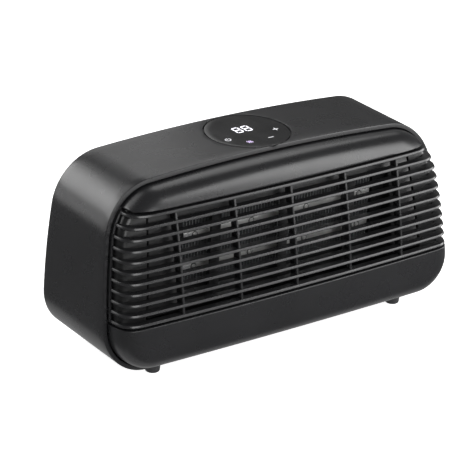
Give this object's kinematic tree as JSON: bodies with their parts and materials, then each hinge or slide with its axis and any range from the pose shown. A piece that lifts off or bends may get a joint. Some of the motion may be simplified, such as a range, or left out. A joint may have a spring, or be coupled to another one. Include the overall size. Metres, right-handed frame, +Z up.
{
  "type": "ceramic space heater",
  "caption": "Tabletop ceramic fan heater: rounded sleeve case on feet, bulging slatted front grille, heating block, crossflow blower and a touch control disc in the top.",
  "frame": {"origin": "on the standing surface, under the middle of the heater's box", "axes": "+X to the heater's right as seen from the front, -Y to the front where the warm air leaves, +Z up"},
  "size_m": [0.3402, 0.1247, 0.1606],
  "materials": {
    "case": "satin black moulded plastic, fine texture",
    "front": "satin black moulded plastic, fine texture",
    "grille": "satin black moulded plastic",
    "inner": "dull black heat-resistant plastic",
    "switch": "glossy black plastic",
    "disc": "gloss black touch panel with lit symbols",
    "board": "green circuit board",
    "relay": "blue component case",
    "plunger": "white acetal",
    "copper": "copper winding and spring contacts",
    "bronze": "sintered bronze bush",
    "ceramic": "aluminium electrode bar holding ceramic heating stones",
    "fins": "folded aluminium strip",
    "steel": "plated steel",
    "rotor": "cast rotor cage",
    "rubber": "black moulded rubber"
  },
  "bodies": {
    "housing": {"bearing_mount": "rubber", "block_frame": "inner", "case_shell": "case", "chassis": "inner", "control_board": "board", "control_disc": "disc", "cord_gland": "rubber", "display_module": "inner", "electrode_bar_1": "ceramic", "electrode_bar_2": "ceramic", "fan_housing": "inner", "filter_capacitor": "relay", "fin_divider": "fins", "fin_row_1": "fins", "fin_row_2": "fins", "fin_row_3": "fins", "fin_row_4": "fins", "foot_front_left": "rubber", "foot_front_right": "rubber", "foot_rear_left": "rubber", "foot_rear_right": "rubber", "foot_screw_front_left": "steel", "foot_screw_front_right": "steel", "foot_screw_rear_left": "steel", "foot_screw_rear_right": "steel", "front_cover": "front", "front_grille": "grille", "motor_bracket_in": "steel", "motor_bracket_out": "steel", "motor_bush_in": "bronze", "motor_bush_out": "bronze", "motor_coil": "copper", "motor_stack": "steel", "outlet_duct": "inner", "power_board": "board", "power_switch_bezel": "inner", "rear_cover": "case", "rear_screw_high_left": "steel", "rear_screw_high_right": "steel", "rear_screw_low_left": "steel", "rear_screw_low_right": "steel", "relay_1": "relay", "relay_2": "relay", "shaft_bush": "bronze", "terminal_1": "steel", "terminal_2": "steel", "terminal_block": "inner", "thermal_cutout": "steel", "thermal_fuse": "steel", "tip_switch_body": "inner", "touch_pad_minus": "copper", "touch_pad_mode": "copper", "touch_pad_plus": "copper", "touch_pad_power": "copper"},
    "blower": {"fan_wheel": "inner", "fan_shaft": "steel", "motor_rotor": "rotor"},
    "tip_plunger": {"tip_switch_plunger": "plunger"},
    "rocker": {"power_switch": "switch"}
  },
  "joints": [
    {"name": "blower_spin", "type": "hinge", "parent": "housing", "child": "blower", "pos_m": [0, 0.022, 0.0975], "axis": [1, 0, 0], "continuous": true},
    {"name": "tip_plunger_slide", "type": "slide", "parent": "housing", "child": "tip_plunger", "axis": [0, 0, -1], "range_m": [0, 0.005]},
    {"name": "rocker_tilt", "type": "hinge", "parent": "housing", "child": "rocker", "pos_m": [-0.095, 0.0595, 0.0335], "axis": [1, 0, 0], "range_deg": [0, 16]}
  ]
}
